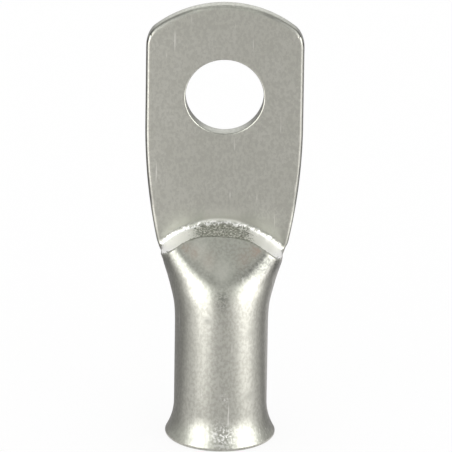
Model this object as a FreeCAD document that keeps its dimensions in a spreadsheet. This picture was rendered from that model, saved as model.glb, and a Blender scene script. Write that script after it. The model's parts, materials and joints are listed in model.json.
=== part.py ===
import FreeCAD, Part
import math
import os
import Sketcher

# Copper cable lug made from one length of tube, in millimetres.
# The origin is the centre of the bell mouth's rim plane. +Z runs up the barrel to the tip of the tongue,
# the stepped front of the tongue faces -Y, and X runs across its width.
# The back of the tongue is flush with the rear line of the barrel.
# The tongue and the pressed part of the tube are drawn for the +X half and mirrored.

doc = FreeCAD.newDocument("CableLug")
vec = FreeCAD.Vector

# Driving dimensions: name, value and meaning
sizes = [
    ("overallLength", 38.5, "rim of the mouth to the tip of the tongue"),
    ("barrelDiameter", 8.1, "outside of the straight barrel"),
    ("wallThickness", 1.1, "wall of the tube"),
    ("mouthDiameter", 9.99, "outside of the bell mouth at the rim, before its edge is rounded"),
    ("flareRadius", 5.5, "outside radius of the bell, seen in section"),
    ("lipRadius", 0.25, "rounding of the two edges of the rim"),
    ("boreDepth", 12.5, "rim to the end of the round bore"),
    ("cavityEnd", 16.6, "rim to the closed end of the cavity"),
    ("cavityEndWidth", 8.0, "width of the flattened cavity at its closed end"),
    ("cavityEndDepth", 1.7, "front to back of the flattened cavity at its closed end"),
    ("formingStart", 10.5, "where the round tube starts to be pressed flat"),
    ("facetFoot", 14.62, "where the sloping facet would meet the front line of the barrel"),
    ("facetSlope", 1.03, "run of the facet towards the back for each unit of height"),
    ("facetSpread", 1.258, "growth of the half width of the facet for each unit of height"),
    ("spreadFoot", 12.3, "where the sides of the tube start to spread"),
    ("spreadSlope", 0.38, "growth of the half width of the tube for each unit of height"),
    ("bendSoftness", 1.0, "length over which the tube eases into the facet and the spread"),
    ("backFlatStart", 10.5, "where the back of the tube starts to flatten"),
    ("backFlatEnd", 16.0, "where the back of the tube is fully flat"),
    ("backCorner", 0.65, "rear corners of the flattened tube"),
    ("tongueWidth", 13.7, "width of the tongue across its straight sides"),
    ("tongueThickness", 1.4, "pressed thickness of the tongue"),
    ("tongueEdgeRadius", 0.3, "rounding of the long edges of the tongue"),
    ("tipRadius", 9.8, "arc of the tip"),
    ("tipCornerRadius", 0.9, "corners between the tip and the sides"),
    ("waistHeight", 27.5, "where the straight sides start to draw in"),
    ("waistRadius", 51.8, "arc along which the sides draw in"),
    ("shoulderHeight", 16.3, "lower end of the sides of the tongue"),
    ("shoulderRun", 1.0, "height and width of the shoulder that runs into the pressed tube"),
    ("stepHeight", 18.65, "top of the pressed step on the face of the tongue"),
    ("stepNoseRadius", 7.3, "rounded point of the step, seen from the front"),
    ("stepFlankAngle", 45.0, "slope of the straight flanks of the step in degrees"),
    ("stepDraft", 1.0, "draft of the wall of the step in degrees"),
    ("stepRootRadius", 0.4, "hollow rounding at the foot of the step"),
    ("studHoleDiameter", 6.8, "hole for a stud of 6.35 mm"),
    ("studHoleToTip", 8.35, "centre of the stud hole to the tip"),
    ("studHoleEdge", 0.12, "chamfer of the edges of the stud hole"),
]
sheet = doc.addObject("Spreadsheet::Sheet", "Sizes")
for row, (alias, number, meaning) in enumerate(sizes, start=1):
    sheet.set("A%d" % row, alias)
    sheet.set("B%d" % row, str(number))
    sheet.set("C%d" % row, meaning)
    sheet.setAlias("B%d" % row, alias)
doc.recompute()

barrelRadius = "(Sizes.barrelDiameter / 2)"
boreRadius = "(Sizes.barrelDiameter / 2 - Sizes.wallThickness)"
tongueFront = "(Sizes.barrelDiameter / 2 - Sizes.tongueThickness)"
bellAxis = "(Sizes.barrelDiameter / 2 + Sizes.flareRadius)"
flareHeight = "sqrt(Sizes.flareRadius^2 - (%s - Sizes.mouthDiameter / 2)^2)" % bellAxis

circleHandle = 0.5523       # share of its radius that a quarter circle's handles reach
seamHalfWidth = 0.14        # half width of the flat strips where the tube is still round
loftShares = (0.17, 0.33, 0.46, 0.6, 0.76, 1.0)     # heights of the pressed sections between start and top
loftOverlap = 0.5           # height of the pressed tube above the step, which the press cuts back
cavityFlat = 0.5            # share of the cavity's half width that is flat at its closed end
cavityCorner = 0.3          # share of its depth that the rear corner takes there
edgeSamples = (0.1, 0.5, 0.9)   # places along an edge where its points are looked at
near = 0.001                # distance within which a point counts as lying on a plane

body = doc.addObject("PartDesign::Body", "CableLug")
body.Label = "cable_lug"
press = doc.addObject("PartDesign::Body", "StepPress")
press.Label = "step_press"


def value(expression):
    """Number that an expression of the sheet gives now."""
    return float(sheet.evalExpression(str(expression)))


def originPlane(owner, role):
    return [plane for plane in owner.Origin.OriginFeatures if plane.Role == role][0]


class Profile:
    """Sketch on one of a body's origin planes, with its dimensions bound to the sheet."""

    def __init__(self, name, role, offset="0", rise="0", owner=body):
        self.sketch = owner.newObject("Sketcher::SketchObject", name)
        self.sketch.AttachmentSupport = [(originPlane(owner, role), "")]
        self.sketch.MapMode = "FlatFace"
        self.sketch.setExpression("AttachmentOffset.Base.z", offset)
        self.sketch.setExpression("AttachmentOffset.Base.y", rise)

    def line(self, start, end):
        return self.sketch.addGeometry(Part.LineSegment(vec(*start), vec(*end)))

    def arc(self, centre, radius, startAngle, endAngle):
        circle = Part.Circle(vec(*centre), vec(0, 0, 1), radius)
        return self.sketch.addGeometry(Part.ArcOfCircle(circle, startAngle, endAngle))

    def curve(self, *poles):
        """Cubic curve from its first pole to its last, and the number of its first pole in the sketch."""
        points = [vec(*pole) for pole in poles]
        spline = self.sketch.addGeometry(Part.BSplineCurve(points, None, None, False, 3, None, False))
        firstPole = self.sketch.GeometryCount
        self.sketch.exposeInternalGeometry(spline)
        return spline, firstPole

    def rule(self, kind, *parts):
        return self.sketch.addConstraint(Sketcher.Constraint(kind, *parts))

    def join(self, *meetings):
        """Each meeting is two lines or curves with the end of each: 1 its start, 2 its end, 3 its centre."""
        for meeting in meetings:
            self.rule("Coincident", *meeting)

    def drive(self, kind, *parts):
        """Dimension whose last part is the expression that sets it."""
        *places, expression = parts
        index = self.rule(kind, *places, value(expression))
        self.sketch.setExpression("Constraints[%d]" % index, str(expression))


def feature(owner, kind, name, **settings):
    made = owner.newObject("PartDesign::" + kind, name)
    for key, setting in settings.items():
        setattr(made, key, setting)
    return made


def finishedEdges(owner, base, kind, name, size, wanted):
    """Fillet or chamfer along the edges of a feature whose sample points are all wanted."""
    doc.recompute()
    names = []
    for number, edge in enumerate(base.Shape.Edges, start=1):
        first, last = edge.ParameterRange
        if all(wanted(edge.valueAt(first + (last - first) * share)) for share in edgeSamples):
            names.append("Edge%d" % number)
    made = feature(owner, kind, name, Base=(base, names))
    made.setExpression("Radius" if kind == "Fillet" else "Size", size)


# Tongue

def tongueHalfWidth(height):
    """Half width of the tongue at a height: its sides draw in along the waist arc."""
    below = "max(0; Sizes.waistHeight - %s)" % height
    return "(Sizes.tongueWidth / 2 - Sizes.waistRadius + sqrt(Sizes.waistRadius^2 - %s^2))" % below


def tongueOutline():
    """Front view of the +X half of the tongue, at the rear line of the barrel."""
    profile = Profile("TongueOutline", "XZ_Plane", "-" + barrelRadius)
    top, half = value("Sizes.overallLength"), value("Sizes.tongueWidth / 2")
    tip, corner = value("Sizes.tipRadius"), value("Sizes.tipCornerRadius")
    waist, waistZ = value("Sizes.waistRadius"), value("Sizes.waistHeight")
    shoulderZ, run = value("Sizes.shoulderHeight"), value("Sizes.shoulderRun")
    cornerX = half - corner
    cornerZ = top - tip + math.sqrt((tip - corner) ** 2 - cornerX ** 2)
    cornerAngle = math.atan2(cornerZ - top + tip, cornerX)
    shoulderX = value(tongueHalfWidth("Sizes.shoulderHeight"))
    waistAngle = math.asin((waistZ - shoulderZ) / waist)
    tipArc = profile.arc((0, top - tip), tip, cornerAngle, math.pi / 2)
    cornerArc = profile.arc((cornerX, cornerZ), corner, 0, cornerAngle)
    side = profile.line((half, cornerZ), (half, waistZ))
    waistArc = profile.arc((half - waist, waistZ), waist, -waistAngle, 0)
    shoulder = profile.line((shoulderX, shoulderZ), (shoulderX - run, shoulderZ - run))
    foot = profile.line((shoulderX - run, shoulderZ - run), (0, shoulderZ - run))
    middle = profile.line((0, shoulderZ - run), (0, top))
    profile.join((shoulder, 1, waistArc, 1), (shoulder, 2, foot, 1), (foot, 2, middle, 1),
                 (middle, 2, tipArc, 2))
    profile.rule("Tangent", tipArc, 1, cornerArc, 2)
    profile.rule("Tangent", cornerArc, 1, side, 1)
    profile.rule("Tangent", side, 2, waistArc, 2)
    profile.rule("Vertical", side)
    profile.rule("Horizontal", foot)
    profile.rule("PointOnObject", middle, 1, -2)
    profile.rule("PointOnObject", middle, 2, -2)
    profile.rule("PointOnObject", tipArc, 3, -2)
    profile.drive("Radius", tipArc, "Sizes.tipRadius")
    profile.drive("Radius", cornerArc, "Sizes.tipCornerRadius")
    profile.drive("Radius", waistArc, "Sizes.waistRadius")
    profile.drive("DistanceY", -1, 1, tipArc, 2, "Sizes.overallLength")
    profile.drive("DistanceX", -1, 1, side, 2, "Sizes.tongueWidth / 2")
    profile.drive("DistanceY", -1, 1, side, 2, "Sizes.waistHeight")
    profile.drive("DistanceY", -1, 1, waistArc, 1, "Sizes.shoulderHeight")
    profile.drive("DistanceY", shoulder, 2, shoulder, 1, "Sizes.shoulderRun")
    profile.drive("DistanceX", shoulder, 2, shoulder, 1, "Sizes.shoulderRun")
    return profile.sketch


def makeTongue():
    tongue = feature(body, "Pad", "Tongue", Profile=tongueOutline())
    tongue.setExpression("Length", "Sizes.tongueThickness")
    faces = (value(tongueFront), value(barrelRadius))
    shoulder = value("Sizes.shoulderHeight")
    finishedEdges(body, tongue, "Fillet", "TongueEdges", "Sizes.tongueEdgeRadius",
                  lambda point: point.x > near and point.z > shoulder
                  and min(abs(point.y - face) for face in faces) < near)


# Pressed tube

def eased(height, foot):
    """Length past the foot, easing in over bendSoftness along a branch of a hyperbola."""
    past = "(%s - Sizes.%s)" % (height, foot)
    return "((%s + sqrt(%s^2 + Sizes.bendSoftness^2)) / 2)" % (past, past)


def pressedSizes(height):
    """Half width, depth, front flat, back flat and rear corner of the pressed tube at a height."""
    start = "Sizes.formingStart"
    spread = "%s + Sizes.spreadSlope * (%s - %s)" % (
        barrelRadius, eased(height, "spreadFoot"), eased(start, "spreadFoot"))
    halfWidth = "min(%s; %s - Sizes.tongueEdgeRadius / 2)" % (spread, tongueHalfWidth(height))
    depth = "(Sizes.barrelDiameter - Sizes.facetSlope * (%s - %s))" % (
        eased(height, "facetFoot"), eased(start, "facetFoot"))
    facetHalf = "Sizes.facetSpread * " + eased(height, "facetFoot")
    frontFlat = "min(%s; %s - Sizes.backCorner)" % (facetHalf, halfWidth)
    run = "(Sizes.backFlatEnd - Sizes.backFlatStart)"
    share = "max(0; min(1; (%s - Sizes.backFlatStart) / %s))" % (height, run)
    flattened = "%s^2 * (3 - 2 * %s)" % (share, share)
    corner = "(%s - (%s - Sizes.backCorner) * %s)" % (barrelRadius, barrelRadius, flattened)
    backFlat = "max(%s; %s - %s)" % (seamHalfWidth, halfWidth, corner)
    return halfWidth, depth, frontFlat, backFlat, corner


def pressedSection(name, height, back, halfWidth, depth, frontFlat, backFlat, corner):
    """Half section of the pressed tube, with its back line on the sketch's X axis.

    A flat front, a quarter ellipse to the widest point, a smaller one round the rear corner, a flat back.
    """
    profile = Profile(name, "XY_Plane", height, back)
    wide, deep, flat, rear, turn = [value(each) for each in (halfWidth, depth, frontFlat, backFlat, corner)]
    frontHandle, backHandle = circleHandle * (wide - flat), circleHandle * (wide - rear)
    sideHandle, cornerHandle = circleHandle * (deep - turn), circleHandle * turn
    front = profile.line((0, -deep), (flat, -deep))
    frontCurve, frontPole = profile.curve(
        (flat, -deep), (flat + frontHandle, -deep), (wide, -turn - sideHandle), (wide, -turn))
    backCurve, backPole = profile.curve(
        (wide, -turn), (wide, cornerHandle - turn), (rear + backHandle, 0), (rear, 0))
    backLine = profile.line((rear, 0), (0, 0))
    middle = profile.line((0, 0), (0, -deep))
    profile.join((front, 2, frontCurve, 1), (frontCurve, 2, backCurve, 1), (backCurve, 2, backLine, 1),
                 (backLine, 2, middle, 1), (middle, 2, front, 1), (backLine, 2, -1, 1))
    profile.rule("Horizontal", front)
    profile.rule("Horizontal", backLine)
    profile.rule("Vertical", middle)
    profile.drive("DistanceX", -1, 1, front, 2, frontFlat)
    profile.drive("DistanceY", front, 2, -1, 1, depth)
    profile.drive("DistanceX", -1, 1, frontCurve, 2, halfWidth)
    profile.drive("DistanceY", frontCurve, 2, -1, 1, corner)
    profile.drive("DistanceX", -1, 1, backCurve, 2, backFlat)
    reach = "%s * (%s - %s)"
    profile.rule("Horizontal", frontPole, 3, frontPole + 1, 3)
    profile.drive("DistanceX", frontPole, 3, frontPole + 1, 3, reach % (circleHandle, halfWidth, frontFlat))
    profile.rule("Vertical", frontPole + 2, 3, frontPole + 3, 3)
    profile.drive("DistanceY", frontPole + 2, 3, frontPole + 3, 3, reach % (circleHandle, depth, corner))
    profile.rule("Vertical", backPole, 3, backPole + 1, 3)
    profile.drive("DistanceY", backPole, 3, backPole + 1, 3, reach % (circleHandle, corner, 0))
    profile.rule("Horizontal", backPole + 2, 3, backPole + 3, 3)
    profile.drive("DistanceX", backPole + 3, 3, backPole + 2, 3, reach % (circleHandle, halfWidth, backFlat))
    return profile.sketch


def roundSection(name, height, back, radius):
    """Half circle in four arcs, one for each edge of a pressed section."""
    profile = Profile(name, "XY_Plane", height, back)
    reach = value(radius)
    seam, quarter = math.asin(seamHalfWidth / reach), math.pi / 2
    stops = (-quarter, seam - quarter, 0, quarter - seam, quarter)
    arcs = [profile.arc((0, -reach), reach, *angles) for angles in zip(stops, stops[1:])]
    middle = profile.line((0, 0), (0, -2 * reach))
    for first, second in zip(arcs, arcs[1:]):
        profile.join((first, 2, second, 1), (first, 3, second, 3))
    profile.join((arcs[3], 2, middle, 1), (middle, 2, arcs[0], 1), (middle, 1, -1, 1))
    profile.rule("Vertical", middle)
    profile.rule("PointOnObject", arcs[0], 3, middle)
    profile.rule("Horizontal", arcs[1], 2, arcs[1], 3)
    profile.drive("Radius", arcs[0], radius)
    profile.drive("DistanceX", -1, 1, arcs[0], 2, seamHalfWidth)
    profile.drive("DistanceX", -1, 1, arcs[2], 2, seamHalfWidth)
    return profile.sketch


def between(start, end, share):
    return "(%s + %s * (%s - %s))" % (start, share, end, start)


def makePressedTube():
    """Loft from the round tube up through the sloping facet, past the step."""
    top = "(Sizes.stepHeight + %s)" % loftOverlap
    start = roundSection("RoundSection", "Sizes.formingStart", barrelRadius, barrelRadius)
    sections = []
    for number, share in enumerate(loftShares, start=1):
        height = between("Sizes.formingStart", top, share)
        name = "PressedSection%d" % number
        sections.append(pressedSection(name, height, barrelRadius, *pressedSizes(height)))
    feature(body, "AdditiveLoft", "PressedTube", Profile=start, Sections=sections, Ruled=False)


def makePressedCavity():
    """The bore's flattened end: the tube closes evenly on its back as it is pressed."""
    start = roundSection("CavityStart", "Sizes.boreDepth", boreRadius, boreRadius)
    halfWidth, depth = "(Sizes.cavityEndWidth / 2)", "Sizes.cavityEndDepth"
    flat = "(%s * %s)" % (cavityFlat, halfWidth)
    corner = "(%s * %s)" % (cavityCorner, depth)
    end = pressedSection("CavityEnd", "Sizes.cavityEnd", boreRadius, halfWidth, depth, flat, flat, corner)
    feature(body, "SubtractiveLoft", "PressedCavity", Profile=start, Sections=[end], Ruled=False)


def mirrorHalf():
    doc.recompute()
    whole = feature(body, "Mirrored", "BothHalves", MirrorPlane=(originPlane(body, "YZ_Plane"), ""))
    whole.TransformMode = "Whole shape"
    body.Tip = whole


# Barrel and bell mouth

def bellProfile(name, radius, bell, top, outside):
    """Half section of a straight tube that opens into the bell and ends in the rounded edge of the rim.

    The rounding lies in the wall: towards the axis from the outside, away from it from the bore.
    """
    profile = Profile(name, "XZ_Plane")
    reach, curve, high = value(radius), value(bell), value(top)
    bellTop, lip = value(flareHeight), value("Sizes.lipRadius")
    lipToBell = curve + lip if outside else curve - lip
    angle = math.asin((bellTop - lip) / lipToBell)
    lipX = reach + curve - lipToBell * math.cos(angle)
    rim = profile.line((0, 0), (lipX, 0))
    if outside:
        lipArc = profile.arc((lipX, lip), lip, -math.pi / 2, angle)
        rimEnd, bellEnd = 1, 2
    else:
        lipArc = profile.arc((lipX, lip), lip, math.pi + angle, 1.5 * math.pi)
        rimEnd, bellEnd = 2, 1
    bellArc = profile.arc((reach + curve, bellTop), curve, math.pi, math.pi + angle)
    side = profile.line((reach, bellTop), (reach, high))
    lid = profile.line((reach, high), (0, high))
    axis = profile.line((0, high), (0, 0))
    profile.join((side, 2, lid, 1), (lid, 2, axis, 1), (axis, 2, rim, 1), (rim, 1, -1, 1))
    profile.rule("Tangent", rim, 2, lipArc, rimEnd)
    profile.rule("Tangent", lipArc, bellEnd, bellArc, 2)
    profile.rule("Tangent", bellArc, 1, side, 1)
    profile.rule("Horizontal", rim)
    profile.rule("Vertical", side)
    profile.rule("Horizontal", lid)
    profile.rule("Vertical", axis)
    profile.drive("Radius", lipArc, "Sizes.lipRadius")
    profile.drive("Radius", bellArc, bell)
    profile.drive("DistanceY", -1, 1, bellArc, 3, flareHeight)
    profile.drive("DistanceX", lid, 2, lid, 1, radius)
    profile.drive("DistanceY", -1, 1, lid, 2, top)
    return profile.sketch


def turned(kind, name, sketch):
    return feature(body, kind, name, Profile=sketch, ReferenceAxis=(sketch, ["V_Axis"]), Angle=360)


def makeBarrel():
    """The bell's outside and inside share their centre, so the wall keeps its thickness round the flare."""
    outside = bellProfile("BarrelProfile", barrelRadius, "Sizes.flareRadius", "Sizes.formingStart", True)
    turned("Revolution", "Barrel", outside)
    innerBell = "(Sizes.flareRadius + Sizes.wallThickness)"
    inside = bellProfile("BoreProfile", boreRadius, innerBell, "Sizes.boreDepth", False)
    turned("Groove", "Bore", inside)


# Step

def stepOutline():
    """Foot of the press, seen from the front: a rounded point between two straight flanks."""
    profile = Profile("StepOutline", "XZ_Plane", "-" + tongueFront, owner=press)
    top, nose = value("Sizes.stepHeight"), value("Sizes.stepNoseRadius")
    reach, ceiling = value("Sizes.tongueWidth"), value("Sizes.overallLength + Sizes.tongueWidth")
    angle = math.radians(value("Sizes.stepFlankAngle"))
    noseX, noseZ = nose * math.sin(angle), top - nose * (1 - math.cos(angle))
    endZ = noseZ - (reach - noseX) * math.tan(angle)
    noseArc = profile.arc((0, top - nose), nose, math.pi / 2 - angle, math.pi / 2 + angle)
    right = profile.line((noseX, noseZ), (reach, endZ))
    left = profile.line((-noseX, noseZ), (-reach, endZ))
    rightSide = profile.line((reach, endZ), (reach, ceiling))
    leftSide = profile.line((-reach, endZ), (-reach, ceiling))
    lid = profile.line((-reach, ceiling), (reach, ceiling))
    profile.join((right, 2, rightSide, 1), (left, 2, leftSide, 1), (leftSide, 2, lid, 1),
                 (rightSide, 2, lid, 2))
    profile.rule("Tangent", noseArc, 1, right, 1)
    profile.rule("Tangent", noseArc, 2, left, 1)
    profile.rule("Vertical", rightSide)
    profile.rule("Vertical", leftSide)
    profile.rule("Horizontal", lid)
    profile.rule("PointOnObject", noseArc, 3, -2)
    profile.rule("Symmetric", left, 2, right, 2, -2)
    profile.drive("Radius", noseArc, "Sizes.stepNoseRadius")
    profile.drive("DistanceY", -1, 1, noseArc, 3, "Sizes.stepHeight - Sizes.stepNoseRadius")
    profile.drive("DistanceX", -1, 1, right, 2, "Sizes.tongueWidth")
    flank = "(Sizes.tongueWidth - Sizes.stepNoseRadius * sin(Sizes.stepFlankAngle * 1 deg))"
    profile.drive("DistanceY", right, 2, right, 1, flank + " * tan(Sizes.stepFlankAngle * 1 deg)")
    profile.drive("DistanceY", -1, 1, lid, 1, "Sizes.overallLength + Sizes.tongueWidth")
    return profile.sketch


def makeStep():
    """The press comes down in front of the tongue's face, and its rounded foot leaves the step's hollow."""
    punch = feature(press, "Pad", "Press", Profile=stepOutline())
    punch.setExpression("Length", "Sizes.barrelDiameter")
    punch.setExpression("TaperAngle", "Sizes.stepDraft")
    foot, top = value(tongueFront), value("Sizes.stepHeight")
    finishedEdges(press, punch, "Fillet", "PressEdge", "Sizes.stepRootRadius",
                  lambda point: abs(point.y - foot) < near and point.z < top + near)
    doc.recompute()
    step = feature(body, "Boolean", "Step", Type="Cut")
    step.setObjects([press])


# Stud hole

def makeStudHole():
    profile = Profile("StudHoleOutline", "XZ_Plane", "-" + barrelRadius)
    centre, radius = value("Sizes.overallLength - Sizes.studHoleToTip"), value("Sizes.studHoleDiameter / 2")
    circle = profile.sketch.addGeometry(Part.Circle(vec(0, centre, 0), vec(0, 0, 1), radius))
    profile.rule("PointOnObject", circle, 3, -2)
    profile.drive("DistanceY", -1, 1, circle, 3, "Sizes.overallLength - Sizes.studHoleToTip")
    profile.drive("Diameter", circle, "Sizes.studHoleDiameter")
    hole = feature(body, "Pocket", "StudHole", Profile=profile.sketch, Type="ThroughAll", Reversed=True)
    finishedEdges(body, hole, "Chamfer", "StudHoleEdges", "Sizes.studHoleEdge",
                  lambda point: abs(math.hypot(point.x, point.z - centre) - radius) < near and point.y > 0)


makeTongue()
makePressedTube()
makePressedCavity()
mirrorHalf()
makeBarrel()
makeStep()
makeStudHole()
doc.recompute()

for item in doc.Objects:
    if "Invalid" in item.State or "Error" in item.State:
        raise RuntimeError("%s did not build" % item.Label)
shape = body.Shape
if shape.isNull() or not shape.isValid() or len(shape.Solids) != 1:
    raise RuntimeError("the lug is not one valid solid")
os.makedirs("parts", exist_ok=True)
shape.exportStep("parts/%s.step" % body.Label)
print("%s: volume %.1f mm3, box %s" % (body.Label, shape.Volume, shape.optimalBoundingBox()))
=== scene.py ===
import bpy
import json
import math
import bmesh
import numpy as np
from mathutils import Matrix, Vector


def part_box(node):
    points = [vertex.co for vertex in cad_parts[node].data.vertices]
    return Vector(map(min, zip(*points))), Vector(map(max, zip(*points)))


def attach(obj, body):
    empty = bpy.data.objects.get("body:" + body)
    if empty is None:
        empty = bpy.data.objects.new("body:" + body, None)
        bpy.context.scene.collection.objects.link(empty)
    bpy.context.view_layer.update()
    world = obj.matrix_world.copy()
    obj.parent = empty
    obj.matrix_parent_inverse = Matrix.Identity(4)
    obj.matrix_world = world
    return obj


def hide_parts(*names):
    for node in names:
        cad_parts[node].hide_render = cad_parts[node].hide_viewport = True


# Tin-plated cable lug, standing on its bell mouth with the tongue up and its stepped face to the camera.
# The surfaces are worked out in millimetres and turned into metres when a mesh is made.
# The step and its slopes face -Y, the back of the tongue faces +Y.

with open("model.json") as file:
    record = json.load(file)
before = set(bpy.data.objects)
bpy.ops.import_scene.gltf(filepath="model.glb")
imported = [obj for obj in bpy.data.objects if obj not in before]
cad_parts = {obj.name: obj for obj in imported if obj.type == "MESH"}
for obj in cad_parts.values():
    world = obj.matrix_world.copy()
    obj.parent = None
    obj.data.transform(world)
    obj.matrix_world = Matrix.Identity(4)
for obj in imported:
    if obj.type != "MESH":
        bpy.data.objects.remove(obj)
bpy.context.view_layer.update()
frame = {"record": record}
metre = 1000.0                          # millimetres
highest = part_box("cable_lug")[1]        # the node's corner at +X, +Y and the top, in metres
mounts = {mount["name"]: mount for mount in frame["record"]["mounts"]}
print("frame loaded")

# The tube: sizes in millimetres, those that the frame states are read from it
tube = {
    "radius": mounts["tongue_back"]["pos_m"][1] * metre,        # the tongue's back is flush with the barrel
    "bore": mounts["wire_barrel"]["dims"]["r_mm"],
    "bellRadius": 5.5,          # outside of the bell, seen in section
    "bellHeight": 3.082,        # where the bell runs into the straight barrel
    "lip": 0.25,                # rounding of the rim's two edges
    "boreEnd": 12.5,            # above it the round bore flattens into the cavity
    "cavityEnd": 16.6,
    "cavityWidth": 8.0,         # width and depth of the cavity at its closed end
    "cavityDepth": 1.7,
    "formingStart": 10.5,       # where the round tube starts to be pressed flat
    "facetFoot": 14.62,         # the lower point of the pressed facet
    "facetSlope": 1.03,         # run to the back for each unit of height
    "facetSpread": 1.258,       # growth of the facet's half width for each unit of height
    "spreadFoot": 12.3,         # where the tube starts to spread sideways
    "spreadSlope": 0.335,       # growth of its half width for each unit of height
    "softness": 1.0,            # length of the bends into the facet and the spread
    "pointSoftness": 0.35,      # the same for the facet's point
    "taper": 15.0,              # from here up the sides of the tongue limit the tube's width
    "backFlatStart": 10.5,      # heights between which the round back turns flat
    "backFlatEnd": 16.0,
    "backCorner": 0.65,         # rounding of its two corners once it is flat
    "seam": 0.14,               # least half width of the flat part of the back
    "frontRound": 1.0,          # depth of the rounding beside the facet, as a share of its width
    "thinnest": 1.5,            # the pressed tube is at least this deep
    "cavityFlat": 0.5,          # of the cavity's closed end: the flat share of its width
    "cavityCorner": 0.3,        # and its corner as a share of its depth
}

# The tongue
tongue = {
    "top": highest.z * metre,
    "half": highest.x * metre,
    "back": mounts["tongue_back"]["pos_m"][1] * metre,
    "front": mounts["tongue_front"]["pos_m"][1] * metre,
    "edge": 0.3,                # rounding of its long edges
    "tipRadius": 9.8,           # of the arc across its top end
    "cornerRadius": 0.77,       # between the tip and the sides, more than half the thickness
    "waistHeight": 27.5,        # below it the sides draw in along a circle's arc
    "waistRadius": 51.8,
    "shoulderHeight": 16.3,     # from here down its corners slope in at 45 degrees
    "holeHeight": mounts["stud_hole"]["pos_m"][2] * metre,
    "holeRadius": mounts["stud_hole"]["dims"]["r_mm"],
    "holeEdge": 0.12,           # rounding of the stud hole's two edges
}

# The pressed step
step = {
    "height": 18.42,            # foot of its wall in the middle
    "nose": 7.3,                # rounded point, seen from the front
    "flankAngle": 45.0,         # fall of its line beside the rounded point, in degrees
    "draft": 2.0,               # degrees that the wall falls towards the front, in the middle
    "lean": 2.0,                # degrees that it rises towards the front instead, at the flanks
    "leanReach": 3.0,           # distance from the middle at which it rises fully
    "crest": 0.1,               # rounding where the wall meets the facet
    "rootMiddle": 0.6,          # hollow at the foot of the wall, in the middle and along the flanks
    "rootFlank": 0.5,
    "rootReach": 2.4,           # distance from the middle over which one turns into the other
    "skew": 0.04,               # the press stood slightly askew: fall for each unit of width
}

# The skin's grid: columns run round the section, rows from the cavity's end out over the rim to the tip.
# A pair of numbers gives where a share is 0 and where it is 1.
grid = {
    "columns": 320,
    "frontShare": 0.8,          # share of a quarter turn's columns that lie on the flat face of the tongue
    "halvings": 28,             # of the span in which a column's point on the surface is looked for
    "cavityReach": 8.0,         # that span in the cavity and under the skin
    "skinReach": 9.0,
    "rows": {                   # points along each part of the profile, with both its ends
        "closedEnd": 8,
        "cavity": 18,
        "bore": 9,
        "bellInside": 11,
        "rimInside": 7,
        "ground": 4,
        "rimOutside": 11,
        "bellOutside": 16,
        "barrel": 15,
        "tip": 19,
        "endFace": 10,
        "holeEdge": 6,
    },
    "fineSteps": 4000,          # in which the changing distance of the rows is added up
    "cavityGap": 0.2,           # between the cavity's last row and the bore's first
    "cellHeight": 0.2,          # rows of the tongue
    "cellsBelow": 25,           # how many of them lie below and above the middle of the stud hole
    "cellsAbove": 23,
    "tubeRow": 0.2,             # rows of the pressed tube
    "plainRow": 0.36,           # rows of the bare face below the stud hole
    "plainRise": (1.0, 2.0),    # height above the step at which the rows take that distance
    "follow": (10.6, 17.2),     # height at which the rows take up the shape of the step's line
    "followEnd": 20.0,          # where they start to run level again
    "fanEnd": 15.1,             # up to here the columns turn square to the tongue's faces
    "wallRows": 0.9,            # height of the rows that the step's wall takes, at the tongue's middle
    "wallClimb": (-4.2, -1.3),  # height from the step's line at which the front columns rise, and run level
    "wallLevel": (0.3, 1.0),
    "stepRows": [               # rows set closer: height from the step's line, reach, distance between them
        (-0.9, 0.13, 0.016),
        (-0.5, 0.35, 0.05),
        (0.15, 0.4, 0.05),
    ],
    "holeColumns": 30,          # half width and half height, in cells, of the block that the stud hole opens
    "holeRows": 15,
    "holeFade": 1.7,            # how far from the hole the cells are pushed aside, as a share of the block
    "cornerShare": 0.33,        # share of the tip's rows that turn round its corner
    "merge": 2e-8,              # metres: points closer than this are one
    "sliver": 2e-7,             # metres: faces narrower than this are dissolved
}


def smooth(share):
    # eases from 0 to 1 with level ends: three times the square less twice the cube
    share = np.clip(share, 0.0, 1.0)
    return share * share * (3.0 - 2.0 * share)


def ramp(value, start, full):
    # eases from 0 to 1 as the value goes from the start to where it is full; that may lie below the start
    return smooth((value - start) / (full - start))


def eased(height, foot, softness):
    # a branch of a hyperbola: 0 far below the foot, the length past it far above
    past = height - foot
    return (past + np.sqrt(past * past + softness ** 2)) / 2.0


def tongueHalf(height):
    # straight sides that draw in along a circle's arc below the waist
    below = np.maximum(0.0, tongue["waistHeight"] - height)
    return tongue["half"] - tongue["waistRadius"] + np.sqrt(tongue["waistRadius"] ** 2 - below ** 2)


def stepLine(x):
    # height of the step's foot: an arc of a circle in the middle, tangent to a straight slope each side
    angle = math.radians(step["flankAngle"])
    reach = step["nose"] * math.sin(angle)
    inside = np.minimum(np.abs(x), reach)
    arc = step["height"] - step["nose"] + np.sqrt(step["nose"] ** 2 - inside ** 2)
    return arc - (np.abs(x) - inside) * math.tan(angle) - step["skew"] * x


def roundMeet(first, second, radius):
    # what lies in both forms, with the edge between them rounded to the radius
    corner = np.hypot(np.maximum(first + radius, 0.0), np.maximum(second + radius, 0.0))
    return np.minimum(-radius, np.maximum(first, second)) + corner


def roundJoin(first, second, radius):
    # what lies in either form, with the hollow between them filled to the radius
    corner = np.hypot(np.maximum(radius - first, 0.0), np.maximum(radius - second, 0.0))
    return np.maximum(radius, np.minimum(first, second)) - corner


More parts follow.
